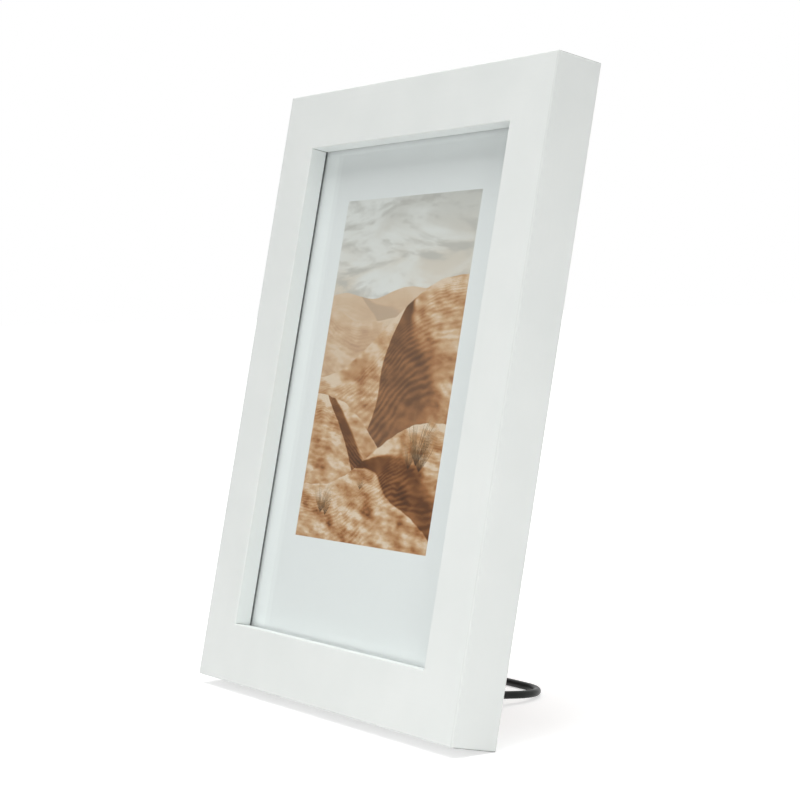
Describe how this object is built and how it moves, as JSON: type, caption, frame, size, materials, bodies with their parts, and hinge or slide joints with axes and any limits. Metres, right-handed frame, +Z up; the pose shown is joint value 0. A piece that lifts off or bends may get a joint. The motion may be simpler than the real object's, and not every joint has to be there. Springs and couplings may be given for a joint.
{
  "type": "picture frame",
  "caption": "Upright square-edged picture frame with glass, a rebated back held by turn clips, and a bent wire stand plugged into the bottom rail.",
  "frame": {"origin": "on the table, in the middle of the part's bounding box", "axes": "+Z up, +X to the right as seen from the front, +Y from the picture's front to the back"},
  "size_m": [0.16, 0.0826, 0.2085],
  "materials": {
    "white_paint": "satin white paint on wood",
    "clear_glass": "clear float glass",
    "printed_paper": "matt printed sheet",
    "grey_card": "uncoated grey card",
    "brown_board": "smooth brown fibreboard",
    "plated_steel": "bright zinc plate",
    "black_wire": "semi-gloss black coating"
  },
  "bodies": {
    "frame": {"top_rail": "white_paint", "bottom_rail": "white_paint", "left_rail": "white_paint", "right_rail": "white_paint", "corner_v_nails": "plated_steel", "clip_screws": "plated_steel", "hanger_top": "plated_steel", "hanger_side": "plated_steel", "hanger_nails": "plated_steel", "glass_pane": "clear_glass", "picture_insert": "printed_paper", "filler_board": "grey_card", "back_panel": "brown_board"},
    "stand": {"stand_wire": "black_wire"},
    "clip_left_low": {"turn_clip_left_low": "plated_steel"},
    "clip_left_high": {"turn_clip_left_high": "plated_steel"},
    "clip_right_low": {"turn_clip_right_low": "plated_steel"},
    "clip_right_high": {"turn_clip_right_high": "plated_steel"}
  },
  "joints": [
    {"name": "stand_pull", "type": "slide", "parent": "frame", "child": "stand", "axis": [0, 0.995, -0.1001], "range_m": [0, 0.014]},
    {"name": "clip_left_low_turn", "type": "hinge", "parent": "frame", "child": "clip_left_low", "pos_m": [-0.0715, -0.0153, 0.04376], "axis": [0, 0.9773, -0.2121], "continuous": true},
    {"name": "clip_left_high_turn", "type": "hinge", "parent": "frame", "child": "clip_left_high", "pos_m": [-0.0715, 0.01015, 0.16103], "axis": [0, 0.9773, -0.2121], "continuous": true},
    {"name": "clip_right_low_turn", "type": "hinge", "parent": "frame", "child": "clip_right_low", "pos_m": [0.0715, -0.0153, 0.04376], "axis": [0, 0.9773, -0.2121], "continuous": true},
    {"name": "clip_right_high_turn", "type": "hinge", "parent": "frame", "child": "clip_right_high", "pos_m": [0.0715, 0.01015, 0.16103], "axis": [0, 0.9773, -0.2121], "continuous": true}
  ]
}
